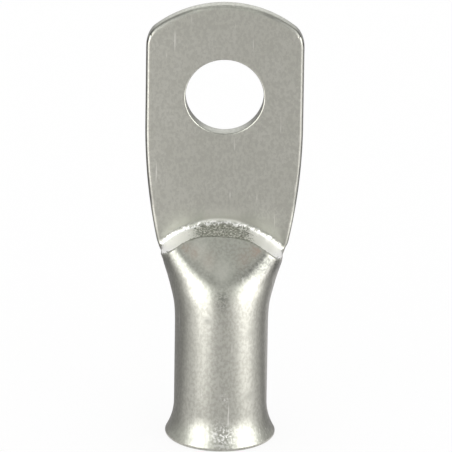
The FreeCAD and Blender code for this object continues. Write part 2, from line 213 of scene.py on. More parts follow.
def sectionGap(x, behind, wide, deep, frontFlat, backFlat, corner, frontDepth):
    # distance, below 0 inside, to a section with a flat front and back that quarter ellipses join to straight
    # sides; behind is measured from the back line towards the front
    atFront = behind > corner
    flat = np.where(atFront, frontFlat, backFlat)
    width = wide - flat
    depth = np.where(atFront, frontDepth, corner)
    past = np.where(atFront, behind - deep + frontDepth, corner - behind)
    across = np.maximum(np.abs(x) - flat, 0.0) / width
    away = np.maximum(past / depth, 1e-6)
    radius = np.hypot(across, away)
    return radius * (radius - 1.0) / np.hypot(across / width, away / depth)


def tubeGap(x, y, z):
    # distance to the outside of the pressed tube
    start, soft = tube["formingStart"], tube["softness"]
    spread = eased(z, tube["spreadFoot"], soft) - eased(start, tube["spreadFoot"], soft)
    limit = tongueHalf(np.maximum(z, tube["taper"])) - tongue["edge"] / 2.0
    wide = np.minimum(tube["radius"] + tube["spreadSlope"] * spread, limit)
    facet = eased(z, tube["facetFoot"], soft) - eased(start, tube["facetFoot"], soft)
    deep = np.maximum(2.0 * tube["radius"] - tube["facetSlope"] * facet, tube["thinnest"])
    point = tube["facetSpread"] * eased(z, tube["facetFoot"], tube["pointSoftness"])
    frontFlat = np.minimum(point, wide - tube["backCorner"])
    flattened = ramp(z, tube["backFlatStart"], tube["backFlatEnd"])
    corner = tube["radius"] - (tube["radius"] - tube["backCorner"]) * flattened
    backFlat = np.maximum(tube["seam"], wide - corner)
    frontDepth = np.minimum(deep - corner, tube["frontRound"] * (wide - frontFlat))
    return sectionGap(x, tube["radius"] - y, wide, deep, frontFlat, backFlat, corner, frontDepth)


def plateGap(x, y, z):
    # distance to the tongue: its front view's outline and its thickness meet in rounded edges
    side = np.abs(x) - tongueHalf(z)
    tip = np.hypot(x, z - tongue["top"] + tongue["tipRadius"]) - tongue["tipRadius"]
    tip = np.where(z > tongue["waistHeight"], tip, -tongue["tipRadius"])
    shoulderX = tongueHalf(tongue["shoulderHeight"])
    shoulder = (np.abs(x) - shoulderX + tongue["shoulderHeight"] - z) / math.sqrt(2.0)
    outline = roundMeet(roundMeet(side, tip, tongue["cornerRadius"]), shoulder, tongue["edge"])
    middle = (tongue["back"] + tongue["front"]) / 2.0
    slab = np.abs(y - middle) - (tongue["back"] - tongue["front"]) / 2.0
    return roundMeet(outline, slab, tongue["edge"])


def wallSlopes(x):
    # the slope of the step's line as the cosine of its angle, and how far its wall falls for each unit of
    # depth: a draft in the middle, a lean at the flanks
    inNose = np.abs(x) < step["nose"] * math.sin(math.radians(step["flankAngle"]))
    level = np.where(inNose, np.sqrt(np.maximum(1.0 - (x / step["nose"]) ** 2, 0.0)),
                     math.cos(math.radians(step["flankAngle"])))
    lean = step["draft"] - (step["draft"] + step["lean"]) * smooth(np.abs(x) / step["leanReach"])
    return level, np.tan(np.radians(lean))


def wallGap(x, y, z):
    # distance to the step's wall, below 0 under it
    level, fall = wallSlopes(x)
    return (z - stepLine(x)) * level + (tongue["front"] - y) * fall


def skinGap(x, y, z):
    # distance to the outside: the tube below the step's wall, joined to the tongue by the hollow at its foot
    below = roundMeet(tubeGap(x, y, z), wallGap(x, y, z), step["crest"])
    nearMiddle = np.exp(-(x / step["rootReach"]) ** 2)
    hollow = step["rootFlank"] + (step["rootMiddle"] - step["rootFlank"]) * nearMiddle
    facing = smooth((tongue["front"] + tongue["edge"] * 2.0 - y) / tongue["edge"])
    return roundJoin(below, plateGap(x, y, z), hollow * facing)


def surfacePoint(gap, start, direction, most):
    # the point along each direction where the distance changes sign, found by halving the span
    low = np.zeros(start.shape[:-1])
    high = np.full(start.shape[:-1], most)
    for _ in range(grid["halvings"]):
        middle = (low + high) / 2.0
        point = start + direction * middle[..., None]
        outside = gap(point[..., 0], point[..., 1], point[..., 2]) > 0.0
        high = np.where(outside, middle, high)
        low = np.where(outside, low, middle)
    return start + direction * ((low + high) / 2.0)[..., None]


def columnAngles():
    # angles round the section from the front, -Y, by way of +X
    return 2.0 * math.pi * np.arange(grid["columns"]) / grid["columns"]


def columnShares():
    # place of each column across the tongue from -1 to 1, and its turn from the front to the back face: on
    # the flat faces the share grows evenly and the turn is 0 or half a turn, and round the sides only the
    # turn grows
    angle = columnAngles()
    quarter = np.arcsin(np.abs(np.sin(angle)))      # 0 at the front and back, a quarter turn at the sides
    flat = grid["frontShare"] * math.pi / 2.0
    side = np.where(np.sin(angle) < 0.0, -1.0, 1.0)
    share = np.minimum(quarter / flat, 1.0) * side
    turn = np.maximum(quarter - flat, 0.0) / (math.pi / 2.0 - flat) * math.pi / 2.0
    turn = np.where(np.cos(angle) < 0.0, math.pi - turn, turn)
    return share, turn, side


def spacedRows(start, end, spacing):
    # heights from start to end whose distance follows the spacing given for each height
    fine = np.linspace(start, end, grid["fineSteps"])
    count = np.concatenate([[0.0], np.cumsum(np.diff(fine) / spacing((fine[1:] + fine[:-1]) / 2.0))])
    return np.interp(np.linspace(0.0, count[-1], int(round(count[-1])) + 1), count, fine)


def turnedRows(radius, height):
    # a profile of radius and height carried round the axis
    angle = columnAngles()
    return np.stack([radius[:, None] * np.sin(angle), -radius[:, None] * np.cos(angle),
                     np.repeat(height[:, None], angle.size, axis=1)], axis=-1)


def cavityRows():
    # the flattened end of the bore, from the middle of its closed end down to the round bore: its section
    # goes evenly from the bore's circle to a wide flat slot
    centreShares = np.linspace(0.0, 1.0, grid["rows"]["closedEnd"])[:-1]
    closed = centreShares.size
    lowEnd = tube["boreEnd"] + grid["cavityGap"]
    height = np.concatenate([np.full(closed, tube["cavityEnd"]),
                             np.linspace(tube["cavityEnd"], lowEnd, grid["rows"]["cavity"])])
    angle = columnAngles()
    share = ((height - tube["boreEnd"]) / (tube["cavityEnd"] - tube["boreEnd"]))[:, None]
    wide = tube["bore"] + share * (tube["cavityWidth"] / 2.0 - tube["bore"])
    deep = 2.0 * tube["bore"] + share * (tube["cavityDepth"] - 2.0 * tube["bore"])
    flat = share * tube["cavityFlat"] * wide
    corner = (0.5 - (0.5 - tube["cavityCorner"]) * share) * deep
    middle = tube["bore"] - deep / 2.0
    start = np.stack(np.broadcast_arrays(0.0 * angle, middle, height[:, None]), axis=-1)
    direction = np.stack(np.broadcast_arrays(np.sin(angle) * (wide / tube["bore"]) ** 2, -np.cos(angle),
                                             0.0 * height[:, None]), axis=-1)
    points = surfacePoint(
        lambda x, y, z: sectionGap(x, tube["bore"] - y, wide, deep, flat, flat, corner, deep - corner),
        start, direction, grid["cavityReach"])
    points[:closed] = start[:closed] + centreShares[:, None, None] * (points[:closed] - start[:closed])
    return points


def rimRows():
    # bore, bell, rounded rim and straight barrel: the bell's inside and outside are arcs about one centre, so
    # the wall keeps its thickness, and each rounding of the rim is an arc tangent to the bell and the ground
    count = grid["rows"]
    centre = tube["radius"] + tube["bellRadius"]
    lip = tube["lip"]
    inside, outside = centre - tube["bore"], tube["bellRadius"]
    bore = np.linspace(tube["boreEnd"], tube["bellHeight"], count["bore"])[:-1]
    profile = [(tube["bore"] + 0.0 * bore, bore)]
    insideEnd = math.asin((tube["bellHeight"] - lip) / (inside - lip))
    bell = np.linspace(0.0, insideEnd, count["bellInside"])
    profile.append((centre - inside * np.cos(bell), tube["bellHeight"] - inside * np.sin(bell)))
    turn = np.linspace(insideEnd, math.pi / 2.0, count["rimInside"])[1:]
    rimInside = centre - (inside - lip) * math.cos(insideEnd)
    profile.append((rimInside - lip * np.cos(turn), lip - lip * np.sin(turn)))
    outsideEnd = math.asin((tube["bellHeight"] - lip) / (outside + lip))
    rimOutside = centre - (outside + lip) * math.cos(outsideEnd)
    ground = np.linspace(rimInside, rimOutside, count["ground"])[1:-1]
    profile.append((ground, 0.0 * ground))
    turn = np.linspace(-math.pi / 2.0, outsideEnd, count["rimOutside"])
    profile.append((rimOutside + lip * np.cos(turn), lip + lip * np.sin(turn)))
    bell = np.linspace(outsideEnd, 0.0, count["bellOutside"])[1:]
    profile.append((centre - outside * np.cos(bell), tube["bellHeight"] - outside * np.sin(bell)))
    barrel = np.linspace(tube["bellHeight"], tube["formingStart"], count["barrel"])[1:-1]
    profile.append((tube["radius"] + 0.0 * barrel, barrel))
    return turnedRows(*[np.concatenate(part) for part in zip(*profile)])


def skinRows():
    # pressed tube and tongue: from a line in the middle of the section each column goes out to the skin. The
    # columns fan out from the axis on the barrel and stand square to the faces on the tongue. The rows follow
    # the step's line where it crosses them, and the tip's arc above the stud hole.
    share, turn, side = columnShares()
    angle = columnAngles()
    cell, hole = grid["cellHeight"], tongue["holeHeight"]
    plain = hole - grid["cellsBelow"] * cell
    upper = hole + grid["cellsAbove"] * cell
    half = (tongue["back"] - tongue["front"]) / 2.0

    def spacing(height):
        # the rows for each millimetre are added up: the even ones and those set closer near the step
        past = height - step["height"]
        even = grid["tubeRow"] + (grid["plainRow"] - grid["tubeRow"]) * ramp(past, *grid["plainRise"])
        rows = 1.0 / even
        for middle, reach, distance in grid["stepRows"]:
            rows = rows + np.exp(-((past - middle) / reach) ** 2) / distance
        return 1.0 / rows

    below = spacedRows(tube["formingStart"], plain, spacing)[:-1]
    tongueRows = np.arange(-grid["cellsBelow"], grid["cellsAbove"] + 1) * cell + hole
    centreTop = tongue["top"] - half
    cornerX = tongue["half"] - tongue["cornerRadius"]
    tipCentre = tongue["top"] - tongue["tipRadius"]
    cornerZ = tipCentre + math.sqrt((tongue["tipRadius"] - tongue["cornerRadius"]) ** 2 - cornerX ** 2)
    cornerTurn = math.atan2(cornerZ - tipCentre, cornerX)       # of the outline's normal above level
    inner = tongue["tipRadius"] - half
    arcEndX, arcEndZ = inner * math.cos(cornerTurn), tipCentre + inner * math.sin(cornerTurn)
    topShare = np.linspace(0.0, 1.0, grid["rows"]["tip"])[1:]

    # height of each row in the middle and the turn of the outline's normal at its end
    centre = np.concatenate([below, tongueRows, upper + (centreTop - upper) * topShare])
    cornerStart = 1.0 - grid["cornerShare"]
    sideRise = (cornerZ - upper) * np.minimum(topShare / cornerStart, 1.0)
    turning = cornerTurn * np.clip((topShare - cornerStart) / grid["cornerShare"], 0.0, 1.0)
    cornerRise = (tongue["cornerRadius"] - half) * np.sin(turning)
    ends = np.concatenate([below, tongueRows, upper + sideRise + cornerRise])
    normalTurn = np.concatenate([0.0 * below, 0.0 * tongueRows, turning])
    bulge = np.concatenate([0.0 * below, 0.0 * tongueRows, topShare])
    follow = ramp(centre, *grid["follow"]) * (1.0 - ramp(centre, grid["followEnd"], plain))
    lowered = ends + follow * (stepLine(tongueHalf(ends) - half) - stepLine(0.0))
    endX = np.where(normalTurn == 0.0, tongueHalf(lowered) - half,
                    cornerX + (tongue["cornerRadius"] - half) * np.cos(normalTurn))

    x = endX[:, None] * share
    arc = tipCentre + np.sqrt(inner ** 2 - np.minimum(np.abs(x), arcEndX) ** 2)
    z = ends[:, None] + bulge[:, None] * (arc - arcEndZ)
    z = z + follow[:, None] * (stepLine(x) - stepLine(0.0))
    pressed = ramp(z, tube["formingStart"], grid["fanEnd"])
    turned = np.where(angle > math.pi, 2.0 * math.pi - angle, angle)
    aim = turned + pressed * (turn - turned)
    normal = normalTurn[:, None]
    start = np.stack([x * pressed, pressed * (tongue["back"] + tongue["front"]) / 2.0, z], axis=-1)

    # near the step the front columns rise towards the front, so that its wall takes the same rows all along
    level, fall = wallSlopes(x)
    depth = tongue["front"] - (tube["facetSlope"] * (stepLine(x) - tube["facetFoot"]) - tube["radius"])
    climb = (grid["wallRows"] - depth * fall / level) / (half + depth)
    past = z - stepLine(x)
    climb = climb * ramp(past, *grid["wallClimb"]) * (1.0 - ramp(past, *grid["wallLevel"]))
    climb = climb * smooth(np.cos(aim) * 2.0)
    direction = np.stack([np.sin(aim) * np.cos(normal) * side, -np.cos(aim),
                          np.sin(aim) * np.sin(normal) + climb], axis=-1)

    # the end face: each column turns about its place on the tip's inner arc until both faces meet
    roll = np.linspace(0.0, math.pi / 2.0, grid["rows"]["endFace"])[1:, None]
    aim = np.clip(np.broadcast_to(turn, (roll.size, turn.size)), roll, math.pi - roll)
    x = np.broadcast_to(x[-1], aim.shape)
    tipStart = np.broadcast_to(start[-1], aim.shape + (3,))
    sideways = x / inner
    upwards = np.sqrt(1.0 - sideways ** 2)
    tipDirection = np.stack([np.sin(aim) * sideways, -np.cos(aim), np.sin(aim) * upwards], axis=-1)
    start = np.concatenate([start, tipStart])
    direction = np.concatenate([direction, tipDirection])
    points = surfacePoint(skinGap, start, direction, grid["skinReach"])
    holeRow = below.size + grid["cellsBelow"]
    return openHole(points, holeRow), holeRow


def openHole(points, holeRow):
    # pushes the cells round the stud hole aside, so that the block in their middle takes the hole's outline:
    # the distance from the middle is counted in cells, and the direction is kept
    columns = np.arange(grid["columns"])
    half = grid["columns"] // 2
    others = np.where(columns > half + half // 2, columns - 2 * half, half - columns)
    across = np.where(columns < half // 2, columns, others)
    rows = np.arange(points.shape[0]) - holeRow
    i = across[None, :] / grid["holeColumns"]
    j = rows[:, None] / grid["holeRows"]
    rank = np.maximum(np.abs(i), np.abs(j))
    length = np.maximum(np.hypot(i, j), 1e-9)
    radius = (tongue["holeRadius"] + tongue["holeEdge"]) * rank
    fade = smooth((rank - 1.0) / (grid["holeFade"] - 1.0))
    moved = points.copy()
    moved[..., 0] = fade * points[..., 0] + (1.0 - fade) * radius * i / length
    moved[..., 2] = fade * points[..., 2] + (1.0 - fade) * (tongue["holeHeight"] + radius * j / length)
    return moved


def holeWall(points, holeRow):
    # the wall of the stud hole: the block's outline carried through the tongue along a rounded profile
    wide, high = grid["holeColumns"], grid["holeRows"]
    half = grid["columns"] // 2
    across = np.concatenate([np.arange(-wide, wide), np.full(2 * high, wide),
                             np.arange(wide, -wide, -1), np.full(2 * high, -wide)])
    up = np.concatenate([np.full(2 * wide, -high), np.arange(-high, high),
                         np.full(2 * wide, high), np.arange(high, -high, -1)])
    front = points[holeRow + up, across % grid["columns"]]
    back = points[holeRow + up, (half - across) % grid["columns"]]
    edge = tongue["holeEdge"]
    through = tongue["back"] - tongue["front"] - edge
    turn = np.linspace(0.0, math.pi / 2.0, grid["rows"]["holeEdge"])
    inward = np.concatenate([edge * np.sin(turn), edge * np.cos(turn)])
    depth = np.concatenate([edge - edge * np.cos(turn), through + edge * np.sin(turn)])
    away = front[:, [0, 2]] - [0.0, tongue["holeHeight"]]
    unit = away / np.linalg.norm(away, axis=1)[:, None]
    rings = np.repeat(front[None], inward.size, axis=0)
    rings[..., 0] -= inward[:, None] * unit[:, 0]
    rings[..., 1] += depth[:, None]
    rings[..., 2] -= inward[:, None] * unit[:, 1]
    rings[-1] = back
    return rings


def gridFaces(rows, columns, first=0, keep=None):
    # four corners of each cell of a grid that closes on itself round its columns
    row = np.arange(rows - 1)[:, None]
    column = np.arange(columns)[None, :]
    after = (column + 1) % columns
    near, far = row * columns, (row + 1) * columns
    corners = np.stack(np.broadcast_arrays(near + column, near + after, far + after, far + column), axis=-1)
    if keep is not None:
        corners = corners[keep]
    return corners.reshape(-1, 4) + first


def closedMesh(name, points, faces):
    # mesh from points in millimetres, with its seams and poles merged and its faces turned outwards
    made = bpy.data.meshes.new(name)
    made.from_pydata((points / metre).tolist(), [], faces.tolist())
    work = bmesh.new()
    work.from_mesh(made)
    loose = [vertex for vertex in work.verts if not vertex.link_faces]
    bmesh.ops.delete(work, geom=loose, context="VERTS")
    bmesh.ops.remove_doubles(work, verts=work.verts[:], dist=grid["merge"])
    bmesh.ops.dissolve_degenerate(work, edges=work.edges[:], dist=grid["sliver"])
    bmesh.ops.recalc_face_normals(work, faces=work.faces[:])
    openEdges = sum(1 for edge in work.edges if len(edge.link_faces) != 2)
    volume = work.calc_volume() * metre ** 3
    print(name, "faces", len(work.faces), "open edges", openEdges, "volume mm3", volume)
    work.to_mesh(made)
    work.free()
    made.polygons.foreach_set("use_smooth", np.ones(len(made.polygons), dtype=bool))
    made.update()
    return made


def makeLug():
    columns = grid["columns"]
    skin, holeRow = skinRows()
    rows = np.concatenate([cavityRows(), rimRows(), skin])
    firstSkin = rows.shape[0] - skin.shape[0]
    rowNumber = np.arange(rows.shape[0] - 1)[:, None] - firstSkin - holeRow
    column = np.arange(columns)[None, :]
    wide, high = grid["holeColumns"], grid["holeRows"]
    across = np.minimum(column, columns - 1 - column)
    across = np.minimum(across, np.abs(columns // 2 - 0.5 - column) - 0.5)
    inBlock = (across < wide) & (rowNumber >= -high) & (rowNumber < high)
    wall = holeWall(skin, holeRow)
    points = np.concatenate([rows.reshape(-1, 3), wall.reshape(-1, 3)])
    faces = np.concatenate([gridFaces(rows.shape[0], columns, keep=~inBlock),
                            gridFaces(wall.shape[0], wall.shape[1], first=rows.shape[0] * columns)])
    lug = bpy.data.objects.new("lug_skin", closedMesh("lug_skin", points, faces))
    bpy.context.scene.collection.objects.link(lug)
    return lug


lug = makeLug()
print("lug made")

# Where the press and the forming tools left their marks, and where light and shade are painted, as shares
# from 0 to 1 for each point of the skin.
# Each pair is a soft edge: the distance or height, in millimetres, at which it is 0 and at which it is 1.
marks = {
    "onFront": (-0.05, 0.0),    # distance in front of the tongue's front face
    "peelWall": (0.55, 0.05),   # the hammered look: from the step's wall, on either side of it
    "peelDepth": (0.03, 0.13),  # inside the tube's outline
    "rough": [(0.2, 1.3, 0.9, 0.7), (0.35, 4.7, 0.4, 0.4)],     # hammered spots on the bell and the barrel
    "shineAcross": (1.0, 3.1),  # the wall at both flanks, polished by the press, its near-white colour partly painted highlight: out from the middle, growing evenly
    "shineWall": (0.4, 0.0),    # above the wall
    "shineDepth": (0.04, 0.24),
    "bandOuter": (-0.25, 0.1),  # the darker band: in from the facet's two lower edges
    "bandInner": (0.55, 0.05),
    "bandLow": (0.6, 1.4),      # below the step, and a third of the way across further down
    "bandBack": 0.5,            # it lies in front of this depth
    "bandShare": 0.4,
    "pinch": [(0.0, 14.0, 0.6, 1.0), (0.0, 13.4, 0.5, 0.9)],    # it runs out below the facet's point
    "tintWall": (-0.05, -0.2),  # the tints on the facet: below the wall, and in from the facet's edges
    "tintEdge": (-0.1, 0.2),
    "tints": [                  # where the copper shows through on the facet: x, height, radius, strength
        (3.2, 17.35, 0.75, 1.0),
        (-2.45, 17.2, 0.4, 0.8),
        (1.9, 16.8, 0.6, 0.45),
        (-1.2, 16.75, 0.6, 0.4),
        (-3.3, 17.4, 0.6, 0.7),
    ],
    # painted light: lighter spots on the facet and the bulges
    "paintedLightSpots": [(-2.0, 17.3, 0.9, 0.6), (0.0, 15.8, 0.9, 0.6), (-1.3, 16.3, 0.8, 0.6)],
    "paintedLightTop": -0.1,            # they lie lower than this under the wall
    "bulgeShadeFoot": (14.7, 16.1),  # painted shade on the tops of the two bulges beside the facet, less on the left
    "bulgeShadeEdge": (-0.1, -0.4),  # out from the facet's edges
    "bulgeShadeWall": (-0.1, -0.3),  # below the wall
    "bulgeShadeLeft": 0.5,
    "bulgeBack": 2.0,           # the bulges and the facet lie in front of this depth
    "mirrorTop": (2.2, 0.0),    # how far up the tongue the painted light and painted shade above the step reach
    "mirrorFoot": (0.2, 0.4),   # and how far above the wall it starts
    "padDepth": 0.1,            # the tongue's front face, this near to its plane
    "edgeShadeOuter": (0.02, 0.06),   # painted shade along the rounding of the tongue's front edge: in from the side
    "edgeShadeInner": (0.24, 0.2),
    "edgeShadeFoot": (19.0, 21.0),    # up from this height
    "tipMiddle": (4.0, 2.0),    # it leaves out the middle of the tip: out from the middle
    "holeShade": 0.26,              # share of the same painted shade on the wall of the stud hole
    "holeShadeEdge": (0.06, 0.01),  # out from that wall
    "blotches": [               # dull spots on the barrel: x, height, radius, strength
        (-1.25, 11.8, 0.3, 1.0),
        (2.5, 10.5, 0.35, 0.6),
        (2.4, 4.7, 0.4, 0.7),
        (2.2, 8.6, 0.2, 0.4),
        (-1.75, 3.0, 0.15, 0.8),
    ],
}


def spots(places, x, z):
    # soft round spots: each falls off with the square of the distance from its middle
    share = np.zeros(x.shape)
    for middle, height, radius, strength in places:
        away = np.hypot(x - middle, z - height) / radius
        share = np.maximum(share, strength * np.exp(-away ** 2))
    return share


def skinMarks(points):
    # each mark is a product of soft edges, measured from the forms that it follows
    x, y, z = points.T
    wall = wallGap(x, y, z)             # above the step's wall
    depth = -tubeGap(x, y, z)           # inside the pressed tube
    edge = (tube["facetSpread"] * (z - tube["facetFoot"]) - np.abs(x)) / math.hypot(1.0, tube["facetSpread"])
    onBarrel = y < 0.0
    inFront = ramp(tongue["front"] - y, *marks["onFront"])
    peel = ramp(np.abs(wall), *marks["peelWall"]) * inFront * ramp(depth, *marks["peelDepth"])
    peel = np.maximum(peel, spots(marks["rough"], x, z) * onBarrel)
    # the flank walls, polished by the press: their near-white colour is partly painted highlight
    start, full = marks["shineAcross"]
    flank = np.clip((np.abs(x) - start) / (full - start), 0.0, 1.0)
    shine = flank * ramp(depth, *marks["shineDepth"]) * ramp(wall, *marks["shineWall"]) * inFront

    low = ramp(step["height"] - np.abs(x) / 3.0 - z, *marks["bandLow"]) * (y < marks["bandBack"])
    band = ramp(edge, *marks["bandOuter"]) * ramp(edge, *marks["bandInner"]) * low * marks["bandShare"]
    band = np.maximum(band, spots(marks["pinch"], x, z) * onBarrel)
    tint = ramp(wall, *marks["tintWall"]) * ramp(edge, *marks["tintEdge"]) * inFront
    tint = tint * spots(marks["tints"], x, z)
    blotch = spots(marks["blotches"], x, z) * onBarrel

    tip = np.hypot(x, z - tongue["top"] + tongue["tipRadius"]) - tongue["tipRadius"]
    pastTip = np.where(z > tongue["waistHeight"], tip, -tongue["tipRadius"])
    inward = -np.maximum(np.abs(x) - tongueHalf(z), pastTip)
    flatTip = (tip > -tongue["edge"]) * ramp(np.abs(x), *marks["tipMiddle"])
    # painted shade on the rounding of the tongue's front edge and on the wall of the stud hole
    edgeShade = ramp(inward, *marks["edgeShadeOuter"]) * ramp(inward, *marks["edgeShadeInner"])
    edgeShade = edgeShade * (y < tongue["front"] + tongue["edge"]) * ramp(z, *marks["edgeShadeFoot"]) * (1.0 - flatTip)
    fromHole = np.hypot(x, z - tongue["holeHeight"]) - tongue["holeRadius"]
    holeShade = marks["holeShade"] * ramp(fromHole, *marks["holeShadeEdge"]) * (z > marks["edgeShadeFoot"][0])
    edgeShade = np.maximum(edgeShade, holeShade)

    onPad = (np.abs(y - tongue["front"]) < marks["padDepth"]) * (z > tongue["shoulderHeight"])
    # painted light over the middle and painted shade over the flanks of the tongue's face above the step,
    # where it reflects the wall
    above = ramp(wall, *marks["mirrorTop"]) * ramp(wall, *marks["mirrorFoot"]) * onPad
    onBulges = y < marks["bulgeBack"]
    paintedLightSpots = spots(marks["paintedLightSpots"], x, z) * (wall < marks["paintedLightTop"]) * onBulges
    paintedLight = np.maximum(above * smooth(1.0 - flank), paintedLightSpots)
    # painted shade on the tongue's face above the flanks of the step
    shade = above * smooth(flank)
    # painted shade that dims the light reflected by the tops of the two bulges
    bulgeShade = ramp(z, *marks["bulgeShadeFoot"]) * ramp(edge, *marks["bulgeShadeEdge"]) * ramp(wall, *marks["bulgeShadeWall"])
    bulgeShade = bulgeShade * onBulges * np.where(x > 0.0, 1.0, marks["bulgeShadeLeft"])
    return {"peel": peel, "shine": shine, "band": band, "tint": tint, "blotch": blotch, "edgeShade": edgeShade,
            "paintedLight": paintedLight, "shade": shade, "bulgeShade": bulgeShade}


def writeMarks(mesh):
    points = np.empty(len(mesh.vertices) * 3)
    mesh.vertices.foreach_get("co", points)
    for name, share in skinMarks(points.reshape(-1, 3) * metre).items():
        mesh.attributes.new(name, "FLOAT", "POINT").data.foreach_set("value", share)


# Satin tin plating over the copper. A range gives a noise's low and high and, where it isn't 0 and 1, the
# shares there.
plating = {
    "colour": (0.395, 0.40, 0.352),
    "light": (0.425, 0.43, 0.382),      # where the tin is thicker
    "grained": (0.30, 0.303, 0.265),    # the dark side of the grain
    "scratch": (0.62, 0.62, 0.57),      # hairlines
    "shine": (0.97, 0.965, 0.945),      # polished by the press; near white, partly painted highlight
    "dull": (0.20, 0.205, 0.18),        # the darker band and hammered places
    "copper": (0.40, 0.335, 0.28),      # the copper shows through a little
    "paintedLight": (0.58, 0.585, 0.52),        # painted light: lighter on the facet and on the tongue above the middle of the step
    "shade": (0.26, 0.265, 0.23),       # painted shade: darker on the tongue above the flanks of the step
    "bulgeShade": (0.165, 0.167, 0.152),   # painted shade on the tops of the two bulges
    "edgeShade": (0.08, 0.08, 0.075),         # painted shade along the tongue's rounded edge and on the wall of the stud hole
    "patterns": {
        # cells for each metre, how many of them along each axis, finer layers, how much each of these counts
        "tone": (520.0, (1.0, 1.0, 1.0), 5.0, 0.6),
        "grain": (4300.0, (1.0, 1.0, 0.7), 3.0, 0.6),
        "peel": (4800.0, (1.0, 1.0, 1.0), 2.0, 0.5),
        "hairlines": (5590.0, (1.0, 1.0, 0.03), 1.0, 0.5),
        "scratched": (364.0, (1.0, 1.0, 1.0), 1.0, 0.5),
        "hide": (2800.0, (1.0, 1.0, 1.0), 3.0, 0.5),        # the fine leathery bumps
    },
    "toneRange": (0.35, 0.75),
    "grainRange": (0.4, 0.6, 0.0, 0.7),
    "hairRange": (0.66, 0.72),
    "scratchedRange": (0.56, 0.66),
    "roughRange": (0.3, 0.7, 0.28, 0.35),
    "shineRange": (0.0, 0.2),
    "scatter": 2.2,             # how much the noise frays the polished, painted-highlight part
    "layers": [
        # colours laid over one another in this order: mark, noise, range, colour
        ("band", "peel", (0.44, 0.56, 0.95, 0.25), "dull"),
        ("peel", "peel", (0.40, 0.48, 0.35, 0.0), "dull"),
        ("peel", "peel", (0.50, 0.58, 0.0, 0.9), "shine"),
        ("tint", "grain", (0.3, 0.6, 0.4, 1.0), "copper"),
        ("blotch", "grain", (0.4, 0.6, 0.9, 0.3), "dull"),
        # the polished flank walls, near white: partly painted highlight
        ("burnishAndHighlight", "scattered", (0.35, 0.65), "shine"),
        # painted shade on the tops of the bulges
        ("bulgeShade", "peel", (0.35, 0.6, 1.0, 0.5), "bulgeShade"),
        # painted shade on the front edge and in the stud hole
        ("edgeShade", "grain", (0.35, 0.6, 0.95, 0.75), "edgeShade"),
    ],
    "shineRough": 0.16,         # more on the polished flank walls
    "bandPits": 0.4,            # how pitted the darker band is, beside the hammered places
    "hideDepth": 0.000008,      # metres
    "peelDepth": 0.00007,
}


def node(tree, kind, **settings):
    made = tree.nodes.new("ShaderNode" + kind)
    for name, value in settings.items():
        setattr(made, name, value)
    return made


def mathNode(tree, operation, first, second=None):
    # one sum, product and so on of two sockets or numbers
    made = node(tree, "Math", operation=operation)
    for number, part in enumerate((first, second)):
        if isinstance(part, (int, float)):
            made.inputs[number].default_value = part
        elif part is not None:
            tree.links.new(part, made.inputs[number])
    return made.outputs[0]


def rangeNode(tree, value, low, high, lowest=0.0, most=1.0):
    # eases from the lowest to the most as the value goes from low to high
    made = node(tree, "MapRange", interpolation_type="SMOOTHSTEP")
    tree.links.new(value, made.inputs["Value"])
    for name, number in zip(("From Min", "From Max", "To Min", "To Max"), (low, high, lowest, most)):
        made.inputs[name].default_value = number
    return made.outputs[0]


def noiseNode(tree, place, scale, detail=2.0, roughness=0.5):
    made = node(tree, "TexNoise")
    tree.links.new(place, made.inputs["Vector"])
    made.inputs["Scale"].default_value = scale
    made.inputs["Detail"].default_value = detail
    made.inputs["Roughness"].default_value = roughness
    return made.outputs[0]


def stretched(tree, place, scale):
    made = node(tree, "Mapping")
    tree.links.new(place, made.inputs["Vector"])
    made.inputs["Scale"].default_value = scale
    return made.outputs[0]


def colourMix(tree, share, first, second):
    # the first colour where the share is 0, the second where it is 1
    made = node(tree, "Mix", data_type="RGBA")
    tree.links.new(share, made.inputs["Factor"])
    for name, part in (("A", first), ("B", second)):
        socket = [each for each in made.inputs if each.name == name and each.type == "RGBA"][0]
        if isinstance(part, tuple):
            socket.default_value = (*part, 1.0)
        else:
            tree.links.new(part, socket)
    return [each for each in made.outputs if each.type == "RGBA"][0]


def bumpNode(tree, height, depth, strength=1.0, before=None):
    made = node(tree, "Bump")
    tree.links.new(height, made.inputs["Height"])
    made.inputs["Distance"].default_value = depth
    if isinstance(strength, float):
        made.inputs["Strength"].default_value = strength
    else:
        tree.links.new(strength, made.inputs["Strength"])
    if before is not None:
        tree.links.new(before, made.inputs["Normal"])
    return made.outputs[0]


